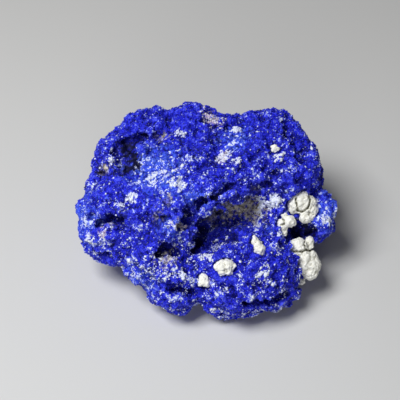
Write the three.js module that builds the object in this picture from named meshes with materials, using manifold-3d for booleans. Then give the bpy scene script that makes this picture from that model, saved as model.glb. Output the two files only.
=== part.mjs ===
// Azurite specimen: one nodule of grown-together azurite, with lumps of pale clay lodged in its hollows.
// Millimetres, +Z up. The front is -Y, and the nodule rests on a few small worn flats at z = 0.
import * as THREE from "three";
import { mergeVertices } from "three/addons/utils/BufferGeometryUtils.js";
import Module from "manifold-3d";

// ---------------------------------------------------------------- driving dimensions

const LOBE_BLEND = 2.2; // how softly neighbouring lobes of one mass run into each other
const HOLLOW_DETAIL = 2; // divisions of each icosahedron edge on the tools that sink hollows and pockets
const CLAY_GAP = 0.3; // clearance between a clay lump and the pocket that holds it
const FLOOR_BLOCK = 80; // side of the block that trims the underside flat at z = 0
const BALL_TURN = 0.4; // radians: keeps rows of faces from running straight along an axis

// The nodule is three masses grown together. Each is a set of rounded lobes (centre, half-sizes)
// that can all be seen from the mass's own heart; detail divides each edge of an icosahedron.
const MASSES = [
  { // upper mass, with the crown and the ledge
    heart: [0, 6, 13],
    detail: 10,
    lobes: [
      { at: [-6, 4, 11.4], half: [12, 12, 11.8] }, // core, left half
      { at: [7, 8.6, 11.8], half: [12.5, 9.6, 12.2] }, // core, right half
      { at: [-14.2, 1.5, 11], half: [9.2, 10, 8.2] }, // left shoulder
      { at: [-12.8, 8.2, 16.6], half: [7.8, 8, 7.4] }, // upper left
      { at: [-9, 13, 18], half: [6.8, 7, 7] }, // crown, far left
      { at: [-2, 12.6, 18.6], half: [5.8, 7.5, 8.4] }, // crown, highest knob
      { at: [4, 12, 17.4], half: [6, 7, 7] }, // saddle
      { at: [11.4, 12.2, 17.4], half: [7.8, 7.8, 8] }, // crown, right of the saddle
      { at: [15, 7.4, 15.4], half: [6.8, 7.4, 7.4] }, // upper right
      { at: [-6, -3.4, 17], half: [7, 5.4, 4.4] }, // ledge, left end
      { at: [1, 0, 19.2], half: [6, 4.4, 3.8] }, // ledge, middle
      { at: [9, 5, 19.2], half: [6.5, 4.4, 3.8] }, // ledge, right end
    ],
  },
  { // front mass, with the belly and the foot
    heart: [2, -6, 7],
    detail: 8,
    lobes: [
      { at: [7.6, -7.4, 6.8], half: [9, 9, 7.2] }, // belly
      { at: [12.4, -7.6, 5.2], half: [5, 6.6, 5.2] }, // belly, low on the right
      { at: [4, -9.4, 5.8], half: [5.4, 6.8, 5.8] }, // belly, left end
      { at: [13.4, -1.6, 7], half: [5.8, 6.2, 5.4] }, // terrace under the clay
      { at: [-4.8, -9, 6], half: [5.6, 6.6, 6.2] }, // foot, left of the notch
      { at: [-8.8, -4, 9.4], half: [7.6, 8, 7.6] }, // lower left
    ],
  },
  { // right rim
    heart: [18, 2, 10],
    detail: 3,
    lobes: [
      { at: [19.4, 1.8, 10.6], half: [4, 4.6, 5.8] }, // outer lip
      { at: [15, 4, 10], half: [5, 5, 6] }, // root, inside the upper mass
    ],
  },
  { // knob beside the cavity
    heart: [-3.2, -6, 14.4],
    detail: 2,
    lobes: [{ at: [-3.2, -6.2, 14.4], half: [2.3, 2.6, 2.8] }],
  },
];

// Hollows sunk into the masses: centre, half-sizes and turn about X, Y and Z in degrees
const HOLLOWS = [
  { at: [1.8, -4.8, 14], half: [4.8, 3.8, 3.4], turn: [20, 0, 30] }, // cavity under the ledge
  { at: [6.8, -1, 14.8], half: [4.8, 3, 3], turn: [10, 0, 24] }, // its shallow end, lined with clay
  { at: [16.8, -0.8, 14.2], half: [4.2, 5, 4.2], turn: [0, 0, 0] }, // bay that holds the clay
  { at: [1.4, -3.6, 21.8], half: [4.6, 0.9, 1], turn: [0, 0, 32] }, // groove along the ledge
  { at: [-12.3, 7, 24.4], half: [2, 2.2, 2.6], turn: [0, 0, -20] }, // deep pit, upper left
  { at: [-13.2, 2.6, 21.6], half: [1.5, 2, 1.8], turn: [0, 0, 0] }, // dent below that pit
  { at: [-20, 4.6, 19], half: [1.4, 1.4, 1.4], turn: [0, 0, 0] }, // notch on the left edge
  { at: [-16.5, -4.6, 17.2], half: [2.8, 1.2, 1.2], turn: [0, 0, 0] }, // slot, left side
  { at: [-10.4, -7.2, 18], half: [2.8, 1.1, 1.2], turn: [0, 0, 0] }, // valley from the slot to the ledge
  { at: [-6.4, -10.6, 14.6], half: [1.6, 1.8, 1.7], turn: [0, 0, 0] }, // hole, lower left
  { at: [-4, -15.4, 9.4], half: [3, 2, 1.4], turn: [0, 0, 0] }, // dimple above the foot
  { at: [-1, -15, 3.2], half: [1, 3, 2.4], turn: [0, 0, 0] }, // notch between foot and belly
  { at: [12, -16.6, 3], half: [7, 3, 2], turn: [0, 0, 8] }, // undercut below the belly
];

// Lumps of clay caught in the hollows: lobes as above, and how knobbly each lump is
const CLAY_LUMPS = [
  {
    name: "clay_upper_right",
    detail: 4,
    roughness: 0.5,
    lobes: [
      { at: [16.4, 1, 14.8], half: [1.8, 1.8, 2.2] }, // left
      { at: [17.8, 1.8, 15.8], half: [2.2, 2, 1.9] }, // top
      { at: [18.9, 0.6, 13.8], half: [1.7, 1.9, 2.4] }, // right
    ],
  },
  {
    name: "clay_small_right",
    detail: 2,
    roughness: 0.4,
    lobes: [
      { at: [14.6, -2.2, 13.5], half: [1.6, 1.3, 1.3] },
      { at: [13.8, -3.2, 12.6], half: [0.9, 1, 1] },
    ],
  },
  {
    name: "clay_lower_right",
    detail: 4,
    roughness: 0.5,
    lobes: [
      { at: [16.8, -5, 10.4], half: [2.1, 2.2, 2] }, // upper shelf
      { at: [18.2, -6.6, 7], half: [2.3, 2.8, 3.6] }, // hanging end
    ],
  },
  {
    name: "clay_middle",
    detail: 2,
    roughness: 0.3,
    lobes: [{ at: [9, -8, 13.6], half: [1.1, 1.2, 1.4] }],
  },
  {
    name: "clay_front_large",
    detail: 3,
    roughness: 0.4,
    lobes: [{ at: [3.4, -11.4, 11.8], half: [2.1, 1.5, 1.2] }],
  },
  {
    name: "clay_front_small",
    detail: 2,
    roughness: 0.2,
    lobes: [{ at: [-0.3, -12.2, 9.3], half: [0.9, 1, 1.2] }],
  },
  {
    name: "clay_top",
    detail: 1,
    roughness: 0.1,
    lobes: [{ at: [12.5, 6.4, 23.4], half: [0.9, 0.7, 0.7] }],
  },
];

// ---------------------------------------------------------------- shape of the surfaces

/** Roughly how far a point lies outside an ellipsoid: negative inside it. */
function outsideEllipsoid(x, y, z, { at, half }) {
  const dx = x - at[0], dy = y - at[1], dz = z - at[2];
  const near = Math.hypot(dx / half[0], dy / half[1], dz / half[2]);
  const slope = Math.hypot(dx / half[0] ** 2, dy / half[1] ** 2, dz / half[2] ** 2);
  return slope > 0 ? (near * (near - 1)) / slope : -Math.min(...half);
}

/** The smaller of two distances, rounded where they meet. */
function softMin(a, b, width) {
  const overlap = Math.max(width - Math.abs(a - b), 0) / width;
  return Math.min(a, b) - (overlap * overlap * width) / 4;
}

/** Small knobs all over the crust, a few tenths of a millimetre high. */
function knobs(x, y, z) {
  const coarse = Math.sin(0.92 * x + 1.3) * Math.sin(0.85 * y - 0.4) * Math.sin(0.97 * z + 0.7);
  const fine = Math.sin(1.9 * x - 0.6 * z) * Math.sin(1.75 * y + 0.5 * x) * Math.sin(1.85 * z + 0.4 * y);
  return 0.45 * coarse + 0.25 * fine;
}

/** A closed skin: a ball whose points are drawn along rays from its heart until they meet the surface. */
function skin({ heart, detail, lobes, roughness = 1, grow = 0 }) {
  const ball = new THREE.IcosahedronGeometry(1, detail);
  ball.rotateX(BALL_TURN).rotateY(2 * BALL_TURN);
  ball.deleteAttribute("normal");
  ball.deleteAttribute("uv");
  const geometry = mergeVertices(ball, 1e-5);
  const points = geometry.getAttribute("position");
  const ray = new THREE.Vector3();
  const blend = roughness * LOBE_BLEND;
  const outside = (reach) => {
    const [x, y, z] = heart.map((middle, axis) => middle + ray.getComponent(axis) * reach);
    const distances = lobes.map((lobe) => outsideEllipsoid(x, y, z, lobe));
    const nearest = distances.reduce((least, next) => softMin(least, next, blend));
    return nearest - roughness * knobs(x, y, z) - grow;
  };
  for (let i = 0; i < points.count; i++) {
    ray.fromBufferAttribute(points, i).normalize();
    let inside = 0.5;
    while (outside(inside + 0.5) < 0) inside += 0.5;
    let beyond = inside + 0.5;
    for (let halving = 0; halving < 10; halving++) {
      const middle = (inside + beyond) / 2;
      if (outside(middle) > 0) beyond = middle;
      else inside = middle;
    }
    points.setXYZ(i, ...heart.map((middle, axis) => middle + ray.getComponent(axis) * inside));
  }
  return geometry;
}

// ---------------------------------------------------------------- cutting and joining

const wasm = await Module();
wasm.setup();

/** A closed indexed geometry as a solid that can be joined and cut. */
function solidOf(geometry) {
  return new wasm.Manifold(new wasm.Mesh({
    numProp: 3,
    vertProperties: new Float32Array(geometry.getAttribute("position").array),
    triVerts: new Uint32Array(geometry.index.array),
  }));
}

/** A solid's surface as a geometry. */
function geometryOf(solid) {
  const { vertProperties, triVerts } = solid.getMesh();
  const geometry = new THREE.BufferGeometry();
  geometry.setAttribute("position", new THREE.BufferAttribute(vertProperties, 3));
  geometry.setIndex(new THREE.BufferAttribute(triVerts, 1));
  geometry.computeVertexNormals();
  return geometry;
}

/** The tool that sinks one hollow: a knobbly ellipsoid, turned into place. */
function hollowTool({ at, half, turn }) {
  const tool = skin({ heart: [0, 0, 0], detail: HOLLOW_DETAIL, lobes: [{ at: [0, 0, 0], half }] });
  const [rx, ry, rz] = turn.map(THREE.MathUtils.degToRad);
  tool.applyMatrix4(new THREE.Matrix4().makeRotationFromEuler(new THREE.Euler(rx, ry, rz)));
  tool.translate(...at);
  return solidOf(tool);
}

/** A block whose top face is the plane that the nodule stands on. */
function floorBlock() {
  const block = new THREE.BoxGeometry(FLOOR_BLOCK, FLOOR_BLOCK, FLOOR_BLOCK);
  block.deleteAttribute("normal");
  block.deleteAttribute("uv");
  block.translate(0, 0, -FLOOR_BLOCK / 2);
  return solidOf(mergeVertices(block));
}

/** The middle of a lump's lobes. */
function middleOf(lobes) {
  return [0, 1, 2].map((axis) => lobes.reduce((sum, lobe) => sum + lobe.at[axis], 0) / lobes.length);
}

// ---------------------------------------------------------------- the specimen

const azurite = new THREE.MeshStandardMaterial({ color: 0x383eb0, roughness: 0.6, metalness: 0 });
const clay = new THREE.MeshStandardMaterial({ color: 0xcfd0c8, roughness: 0.95, metalness: 0 });

const specimen = new THREE.Group();

/** Adds one named piece to the specimen. */
function addPiece(name, geometry, material) {
  const mesh = new THREE.Mesh(geometry, material);
  mesh.name = name;
  specimen.add(mesh);
}

let nodule = solidOf(skin(MASSES[0]));
for (const mass of MASSES.slice(1)) nodule = nodule.add(solidOf(skin(mass)));
for (const hollow of HOLLOWS) nodule = nodule.subtract(hollowTool(hollow));
nodule = nodule.subtract(floorBlock());
for (const lump of CLAY_LUMPS) {
  const heart = middleOf(lump.lobes);
  const pocket = skin({ ...lump, heart, detail: HOLLOW_DETAIL, grow: CLAY_GAP });
  nodule = nodule.subtract(solidOf(pocket));
  addPiece(lump.name, skin({ ...lump, heart }), clay);
}
addPiece("azurite_nodule", geometryOf(nodule), azurite);

// The origin is the middle of the footprint
const middle = new THREE.Box3().setFromObject(specimen).getCenter(new THREE.Vector3());
for (const piece of specimen.children) piece.geometry.translate(-middle.x, -middle.y, 0);

export default specimen;
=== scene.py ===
"""Azurite specimen: a hollowed nodule under a crust of fine blue crystals, with clay in its hollows.

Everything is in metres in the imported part's frame: +X is the long side, +Z is up, the floor is at z = 0.
Sizes and places on the specimen are given in millimetres and turned to metres by MM.
"""

import logging
import math
from collections.abc import Iterator, Sequence
from dataclasses import dataclass, field
from enum import Enum

import bpy
import numpy as np
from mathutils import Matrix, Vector, noise


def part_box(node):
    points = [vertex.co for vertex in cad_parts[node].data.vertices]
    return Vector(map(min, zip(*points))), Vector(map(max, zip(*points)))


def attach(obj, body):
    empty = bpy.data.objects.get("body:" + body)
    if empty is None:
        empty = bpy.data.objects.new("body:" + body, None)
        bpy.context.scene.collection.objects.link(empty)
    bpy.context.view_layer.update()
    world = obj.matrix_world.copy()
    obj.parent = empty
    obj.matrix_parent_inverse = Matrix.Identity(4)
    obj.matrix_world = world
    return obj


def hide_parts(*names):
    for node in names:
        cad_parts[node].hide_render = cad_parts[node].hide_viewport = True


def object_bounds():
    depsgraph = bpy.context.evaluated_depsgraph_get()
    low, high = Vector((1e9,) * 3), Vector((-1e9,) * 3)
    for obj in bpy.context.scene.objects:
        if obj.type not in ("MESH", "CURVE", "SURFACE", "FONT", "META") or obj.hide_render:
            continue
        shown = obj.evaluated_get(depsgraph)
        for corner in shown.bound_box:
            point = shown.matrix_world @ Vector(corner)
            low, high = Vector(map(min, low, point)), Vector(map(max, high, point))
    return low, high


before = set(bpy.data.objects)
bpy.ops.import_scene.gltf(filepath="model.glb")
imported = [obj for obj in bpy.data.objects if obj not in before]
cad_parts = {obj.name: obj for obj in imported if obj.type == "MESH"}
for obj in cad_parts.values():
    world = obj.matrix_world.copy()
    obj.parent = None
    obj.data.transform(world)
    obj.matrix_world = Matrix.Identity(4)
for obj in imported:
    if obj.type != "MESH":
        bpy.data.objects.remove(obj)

MM = 0.001
CAD_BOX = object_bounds()
BODY = "root"
NODULE = "azurite_nodule"
CLAY_NODES = tuple(node for node in sorted(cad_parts) if node.startswith("clay_"))
SAME_POINT = 0.001  # vertices closer than this share of a unit are one
TINY = 1e-12  # keeps a division from being by nothing
FALL = 0.9  # how fast the finer layers of a wandering pattern get weaker
FINER = 2.0  # how many times finer each of those layers is than the one before
log = logging.getLogger("azurite")

Array = np.ndarray
Chance = np.random.Generator
Colour = tuple[float, float, float, float]
Material = bpy.types.Material
Mesh = bpy.types.Mesh
Object = bpy.types.Object
Point = tuple[float, float, float]
Socket = bpy.types.NodeSocket


class Slot(Enum):
    """The material slots."""

    AZURITE = "azurite"
    CLAY = "clay"
    DUSTING = "dusting"


class Stain(Enum):
    """What covers or colours a patch of the crust, or lays painted shade on it."""

    CHALK = "chalk"
    AZURE = "azure"
    EARTH = "earth"
    # painted shade, not a real stain: near-black navy laid in pits, gaps and the cave
    SOOT = "soot"
    ROSE = "rose"


class Pattern(Enum):
    """A pattern that moves a surface: its kind, its settings and the value that moves nothing."""

    CLOUDS = ("CLOUDS", {"noise_depth": 2}, 0.5)
    SWELLS = ("CLOUDS", {"noise_depth": 1}, 0.5)
    BUTTONS = ("VORONOI", {"weight_1": -1.0, "weight_2": 1.0}, 0.2)


Bumps = tuple[tuple[Pattern, float, float], ...]  # patterns, each with its size and height in millimetres


# ---------------------------------------------------------------- shared tools


def linear(hex_colour: str) -> Colour:
    """Turns an sRGB hex colour into a linear one.

    Args:
        hex_colour: The colour, such as "#2f35b4".

    Returns:
        Linear red, green and blue, and an alpha of 1.
    """
    parts = [int(hex_colour[i : i + 2], 16) / 255 for i in (1, 3, 5)]
    red, green, blue = (p / 12.92 if p <= 0.04045 else ((p + 0.055) / 1.055) ** 2.4 for p in parts)
    return red, green, blue, 1.0


def plug(tree: bpy.types.NodeTree, node: bpy.types.Node, inputs: dict) -> None:
    """Sets and links a node's inputs.

    Args:
        tree: The node tree.
        node: The node.
        inputs: A value or another node's output for each input, by the input's name or number.
    """
    for name, value in inputs.items():
        if isinstance(value, Socket):
            tree.links.new(value, node.inputs[name])
        else:
            node.inputs[name].default_value = value


def add_node(
    tree: bpy.types.NodeTree, kind: str, output: str, inputs: dict | None = None, **settings: object
) -> Socket:
    """Adds a node with its settings and links.

    Args:
        tree: The node tree that gets the node.
        kind: The node's type, without "ShaderNode" before it.
        output: The name of the output that is read.
        inputs: As for plug.
        settings: The node's own values. "ramp" is a list of (position, hex colour) stops.

    Returns:
        The output that is read.
    """
    node = tree.nodes.new("ShaderNode" + kind)
    for position, _ in settings.get("ramp", ())[2:]:
        node.color_ramp.elements.new(1.0)
    for name, value in settings.items():
        if name != "ramp":
            setattr(node, name, value)
            continue
        for stop, (position, colour) in zip(node.color_ramp.elements, value, strict=True):
            stop.position = position
            stop.color = linear(colour)
    plug(tree, node, inputs or {})
    return node.outputs[output]


def blank_material(name: str) -> tuple[Material, bpy.types.NodeTree, Socket]:
    """Makes a material with a plain shader.

    Args:
        name: The material's name.

    Returns:
        The material, its node tree, and the place on the piece, which patterns read.
    """
    material = bpy.data.materials.new(name)
    material.use_nodes = True
    return material, material.node_tree, add_node(material.node_tree, "TexCoord", "Object")


def select_only(*objects: Object) -> None:
    """Selects these objects and makes the first one active.

    Args:
        objects: The objects.
    """
    bpy.ops.object.select_all(action="DESELECT")
    for obj in objects:
        obj.select_set(True)
    bpy.context.view_layer.objects.active = objects[0]


def new_object(name: str, mesh: Mesh) -> Object:
    """Puts a mesh into the scene.

    Args:
        name: The new object's name.
        mesh: Its mesh.

    Returns:
        The object, which is the only one selected.
    """
    obj = bpy.data.objects.new(name, mesh)
    bpy.context.scene.collection.objects.link(obj)
    select_only(obj)
    return obj


def copy_of_node(node: str, name: str) -> Object:
    """Copies a CAD node's mesh into a new object and merges its loose triangles.

    Args:
        node: The CAD node.
        name: The new object's name.

    Returns:
        The new object, with one closed mesh.
    """
    obj = new_object(name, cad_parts[node].data.copy())
    obj.data.materials.clear()
    bpy.ops.object.mode_set(mode="EDIT")
    bpy.ops.mesh.select_all(action="SELECT")
    bpy.ops.mesh.remove_doubles(threshold=SAME_POINT * MM)
    bpy.ops.object.mode_set(mode="OBJECT")
    return obj


def sunk_copy(node: str, name: str, grow: Sequence[float], sink: float) -> Object:
    """Copies a clay lump's solid, changes its size and sinks it deeper into its pocket.

    Args:
        node: The lump's solid.
        name: The copy's name.
        grow: How many times as long it gets on each axis.
        sink: How far it goes in, in millimetres.

    Returns:
        The copy.
    """
    low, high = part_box(node)
    middle = (low + high) / 2
    inward = (Vector((0, 0, CAD_BOX[1][2] / 2)) - middle).normalized() * sink * MM
    copy = copy_of_node(node, name)
    bpy.ops.object.mode_set(mode="EDIT")
    bpy.ops.mesh.select_all(action="SELECT")
    bpy.ops.transform.resize(value=grow, center_override=middle)
    bpy.ops.transform.translate(value=inward)
    bpy.ops.object.mode_set(mode="OBJECT")
    return copy


def apply_modifier(obj: Object, kind: str, **settings: object) -> None:
    """Adds a modifier to an object, sets it and applies it.

    Args:
        obj: The object.
        kind: The modifier's type.
        settings: Its values.
    """
    select_only(obj)
    modifier = obj.modifiers.new(kind.title(), kind)
    for name, value in settings.items():
        setattr(modifier, name, value)
    bpy.ops.object.modifier_apply(modifier=modifier.name)


def remesh(obj: Object, voxel: float) -> None:
    """Rebuilds an object as one closed skin of even faces of the voxel's size, in millimetres."""
    apply_modifier(obj, "REMESH", mode="VOXEL", voxel_size=voxel * MM, use_smooth_shade=True)


def smooth(obj: Object, factor: float, rounds: int) -> None:
    """Wears an object's surface down by rounds of smoothing."""
    apply_modifier(obj, "SMOOTH", factor=factor, iterations=rounds)


def cut_away(obj: Object, tool: Object) -> None:
    """Cuts a tool's shape out of an object and removes the tool."""
    apply_modifier(obj, "BOOLEAN", operation="DIFFERENCE", solver="MANIFOLD", object=tool)
    bpy.data.objects.remove(tool)


def roughen(obj: Object, bumps: Bumps) -> None:
    """Pushes a surface in and out along its normals, by one pattern after another.

    Args:
        obj: The object to roughen.
        bumps: The patterns. The height is from a pattern's lowest to its highest.
    """
    for pattern, size, height in bumps:
        kind, settings, still = pattern.value
        texture = bpy.data.textures.new(f"{obj.name}_{pattern.name.lower()}", kind)
        texture.noise_scale = size * MM
        for name, value in settings.items():
            setattr(texture, name, value)
        how = {"texture": texture, "texture_coords": "LOCAL", "strength": height * MM, "mid_level": still}
        apply_modifier(obj, "DISPLACE", **how)


def keep_biggest_part(obj: Object) -> None:
    """Deletes the loose chips of an object and keeps its biggest connected part.

    Args:
        obj: The object.
    """
    select_only(obj)
    bpy.ops.object.mode_set(mode="EDIT")
    bpy.ops.mesh.select_all(action="SELECT")
    bpy.ops.mesh.separate(type="LOOSE")
    bpy.ops.object.mode_set(mode="OBJECT")
    parts = sorted(bpy.context.selected_objects, key=lambda part: len(part.data.vertices))
    mesh = parts[-1].data
    for part in parts:
        if part is not obj:
            bpy.data.objects.remove(part)
    obj.data = mesh


def read(items: bpy.types.bpy_prop_collection, name: str, width: int, kind: type = np.float32) -> Array:
    """Reads one value of each item of a mesh.

    Args:
        items: The items, such as the mesh's vertices.
        name: The value's name.
        width: How many numbers each value has.
        kind: The kind of number.

    Returns:
        The values, one row for each item.
    """
    values = np.empty(len(items) * width, kind)
    items.foreach_get(name, values)
    return values.reshape(-1, width)


def places_of(mesh: Mesh) -> Array:
    """Reads a mesh's vertices as an array of points."""
    return read(mesh.vertices, "co", 3).astype(float)


def normals_of(mesh: Mesh) -> Array:
    """Reads a mesh's smooth normals, one for each vertex."""
    return read(mesh.vertex_normals, "vector", 3).astype(float)


def triangles_of(mesh: Mesh) -> Array:
    """Reads a mesh's faces as triangles of vertex numbers."""
    mesh.calc_loop_triangles()
    return read(mesh.loop_triangles, "vertices", 3, np.int32)


def keep_in_box(obj: Object) -> None:
    """Flattens what would pass the nodule's box, so that the foot stays flat on the floor.

    Args:
        obj: The object.
    """
    low, high = (np.array(corner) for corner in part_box(NODULE))
    places = np.clip(places_of(obj.data), low, high)
    obj.data.vertices.foreach_set("co", places.astype(np.float32).ravel())
    obj.data.update()


def write_values(mesh: Mesh, name: str, values: Array) -> None:
    """Stores one number for each vertex under a name that a material can read."""
    mesh.attributes.new(name, "FLOAT", "POINT").data.foreach_set("value", values.astype(np.float32))


def stand_out(obj: Object, rounds: int) -> Array:
    """Measures how far each vertex of an object stands out of the surface around it.

    Args:
        obj: The object.
        rounds: How many rounds of smoothing wear down the surface that it is compared with.

    Returns:
        One height in millimetres for each vertex, below 0 in a dent.
    """
    worn = new_object("worn_copy", obj.data.copy())
    smooth(worn, 1.0, rounds)
    out = ((places_of(obj.data) - places_of(worn.data)) * normals_of(worn.data)).sum(1) / MM
    bpy.data.objects.remove(worn)
    return out


def wander(places: Array, size: float, octaves: int, offset: float) -> Array:
    """A soft random value, about -1 to 1, that wanders from place to place.

    Args:
        places: Points in metres.
        size: How far apart its ups and downs are, in millimetres.
        octaves: How many finer layers it has.
        offset: Picks another pattern of the same kind.

    Returns:
        One value for each point.
    """
    scaled = places / (size * MM) + offset
    return np.array([noise.fractal(Vector(p), FALL, FINER, octaves) for p in scaled])


def smooth_step(values: Array, low: float, high: float) -> Array:
    """Goes smoothly from 0 at low to 1 at high."""
    t = np.clip((values - low) / (high - low), 0, 1)
    return t * t * (3 - 2 * t)


def dress(obj: Object, material: Material, slot: Slot) -> None:
    """Gives a piece its material and lets it ride on the specimen.

    Args:
        obj: The piece.
        material: Its material.
        slot: Not used.
    """
    obj.data.materials.clear()
    obj.data.materials.append(material)
    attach(obj, BODY)


# ------------------------------------------------------------------- finishes


@dataclass(frozen=True)
class Grain:
    """A soft random pattern of a finish: its size in millimetres, its finer layers and its twist."""

    size: float
    detail: float
    roughness: float
    distortion: float = 0.0

    def inputs(self, where: Socket) -> dict:
        """Gives the inputs of the node that draws the pattern.

        Args:
            where: The place on the piece.

        Returns:
            A value or an output for each input, by its name.
        """
        return {
            "Vector": where,
            "Scale": 1 / (self.size * MM),
            "Detail": self.detail,
            "Roughness": self.roughness,
            "Distortion": self.distortion,
        }


@dataclass(frozen=True)
class DrusyAzurite:
    """Azurite, a copper carbonate, grown as a crust of crystals: deep ink blue that glows cobalt.

    Freshly grown faces are glassy but so small that the crust looks like felt.
    """

    name: str = "azurite_drusy_crust_grown"
    ink: str = "#040665"
    cobalt: str = "#2229df"
    lilac: str = "#5f6df6"
    haze: str = "#8aa0ff"
    frost: str = "#e2eaff"
    azure: str = "#4a6cf4"
    chalk: str = "#ebf0ff"
    rose: str = "#dcc6c6"
    earth: str = "#cdc6b8"
    earth_dark: str = "#6f695f"
    # painted shade: the near-black navy laid where shade falls in pits, gaps and the cave
    soot: str = "#090a33"
    mottle: Grain = Grain(1.3, 3.0, 0.65)  # patches that are a little deeper or lighter than the next
    tufts: Grain = Grain(0.5, 2.0, 0.6)  # bunches of crystals, thicker and darker than their neighbours
    faces: Grain = Grain(0.3, 1.0, 0.5)  # single crystal faces, which catch more or less light
    flecks: Grain = Grain(0.55, 2.0, 0.7, 0.8)  # flecks and threads of the finest crystals
    veil: Grain = Grain(2.2, 2.0, 0.6)  # where those threads lie thick or thin
    bump: float = 0.25
    bump_strength: float = 0.8
    felt_roughness: float = 0.55
    felt_shine: float = 0.08
    glass_roughness: float = 0.32
    glass_shine: float = 0.2
    ior: float = 1.73

    def material(self, crystals: bool) -> Material:
        """Makes the material, which reads the stains stored on the mesh.

        Args:
            crystals: Whether it is for the separate crystals and not for the crust between them.

        Returns:
            The material.
        """
        material, tree, where = blank_material(self.name + ("_crystals" if crystals else ""))
        names = [*(stain.value for stain in Stain), "tone", "streak"]
        stored = {name: add_node(tree, "Attribute", "Fac", attribute_name=name) for name in names}
        drawn = {
            name: add_node(tree, "TexNoise", "Fac", getattr(self, name).inputs(where))
            for name in ("mottle", "tufts", "faces", "flecks", "veil")
        }
        colour = self.blue(tree, stored, drawn)
        for strength, covering in self.coverings(tree, stored, drawn):
            layers = {"Factor": strength, "A": colour, "B": covering}
            colour = add_node(tree, "Mix", "Result", layers, data_type="RGBA")
        # Single crystals glint like glass; the crust between them is as dull as felt.
        finish = {
            "Base Color": colour,
            "Roughness": self.glass_roughness if crystals else self.felt_roughness,
            "Specular IOR Level": self.glass_shine if crystals else self.felt_shine,
            "IOR": self.ior,
        }
        if not crystals:
            bump = {"Strength": self.bump_strength, "Distance": self.bump * MM, "Height": drawn["faces"]}
            finish["Normal"] = add_node(tree, "Bump", "Normal", bump)
        plug(tree, tree.nodes["Principled BSDF"], finish)
        return material

    def blue(self, tree: bpy.types.NodeTree, stored: dict[str, Socket], drawn: dict[str, Socket]) -> Socket:
        """Mixes the clean crust's blue, from ink to lilac, by random mottle and by the stored tone's
        painted light and shade.

        Args:
            tree: The material's node tree.
            stored: The values stored on the mesh.
            drawn: The patterns.

        Returns:
            The colour.
        """
        # the stored tone carries painted highlights on crests and painted shade in creases and hollows
        light = stored["tone"]
        for name, weight in (("mottle", 1.0), ("tufts", 0.9), ("faces", 0.5)):
            parts = {0: drawn[name], 1: weight, 2: light}
            light = add_node(tree, "Math", "Value", parts, operation="MULTIPLY_ADD")
        light = add_node(tree, "Math", "Value", {0: light, 1: 0.5}, operation="MULTIPLY")
        ramp = ((0.49, self.ink), (0.65, self.cobalt), (0.85, self.lilac))
        return add_node(tree, "ValToRGB", "Color", {"Fac": light}, ramp=ramp)

    def coverings(
        self, tree: bpy.types.NodeTree, stored: dict[str, Socket], drawn: dict[str, Socket]
    ) -> tuple[tuple[Socket, Socket | Colour], ...]:
        """Lays out what covers the blue.

        Args:
            tree: The material's node tree.
            stored: The values stored on the mesh.
            drawn: The patterns.

        Returns:
            How strong each covering is, and its colour, from the lowest to the topmost.
        """
        # Azure patches are a paler, greener blue that breaks up in the tufts.
        patchy = {"Value": drawn["tufts"], "From Min": 0.35, "From Max": 0.6, "To Min": 0.4}
        patchy = add_node(tree, "MapRange", "Result", patchy)
        azure = add_node(tree, "Math", "Value", {0: patchy, 1: stored["azure"]}, operation="MULTIPLY")
        # Frost, the finest crystals, scatters the light as pale flecks and threads, thickest in streaks;
        # through the stored tone it also gathers on crests as painted highlight.
        amount = drawn["flecks"]
        weights = ((drawn["veil"], 0.5), (stored["tone"], 0.35), (stored["streak"], 0.16), (azure, 0.15))
        for value, weight in weights:
            sums = {0: value, 1: weight, 2: amount}
            amount = add_node(tree, "Math", "Value", sums, operation="MULTIPLY_ADD")
        frost = {"Value": amount, "From Min": 0.88, "From Max": 1.04}
        frost = add_node(tree, "MapRange", "Result", frost)
        ramp = ((0.0, self.lilac), (0.6, self.haze), (1.0, self.frost))
        pale = add_node(tree, "ValToRGB", "Color", {"Fac": frost}, ramp=ramp)
        # Chalk covers its patches whole in the middle and breaks up into flecks towards their edges.
        amount = {0: drawn["flecks"], 1: 2.0, 2: stored["chalk"]}
        amount = add_node(tree, "Math", "Value", amount, operation="MULTIPLY_ADD")
        chalk = add_node(tree, "MapRange", "Result", {"Value": amount, "From Min": 1.6, "From Max": 1.75})
        # Earth is dried mud, blotched with darker grains.
        ramp = ((0.42, self.earth_dark), (0.56, self.earth))
        mud = add_node(tree, "ValToRGB", "Color", {"Fac": drawn["tufts"]}, ramp=ramp)
        return (
            (azure, linear(self.azure)),
            (frost, pale),
            (stored["earth"], mud),
            # painted shade over the pits, the gaps between the clay and the cave's floor
            (stored["soot"], linear(self.soot)),
            (chalk, linear(self.chalk)),
            (stored["rose"], linear(self.rose)),
        )


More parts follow.
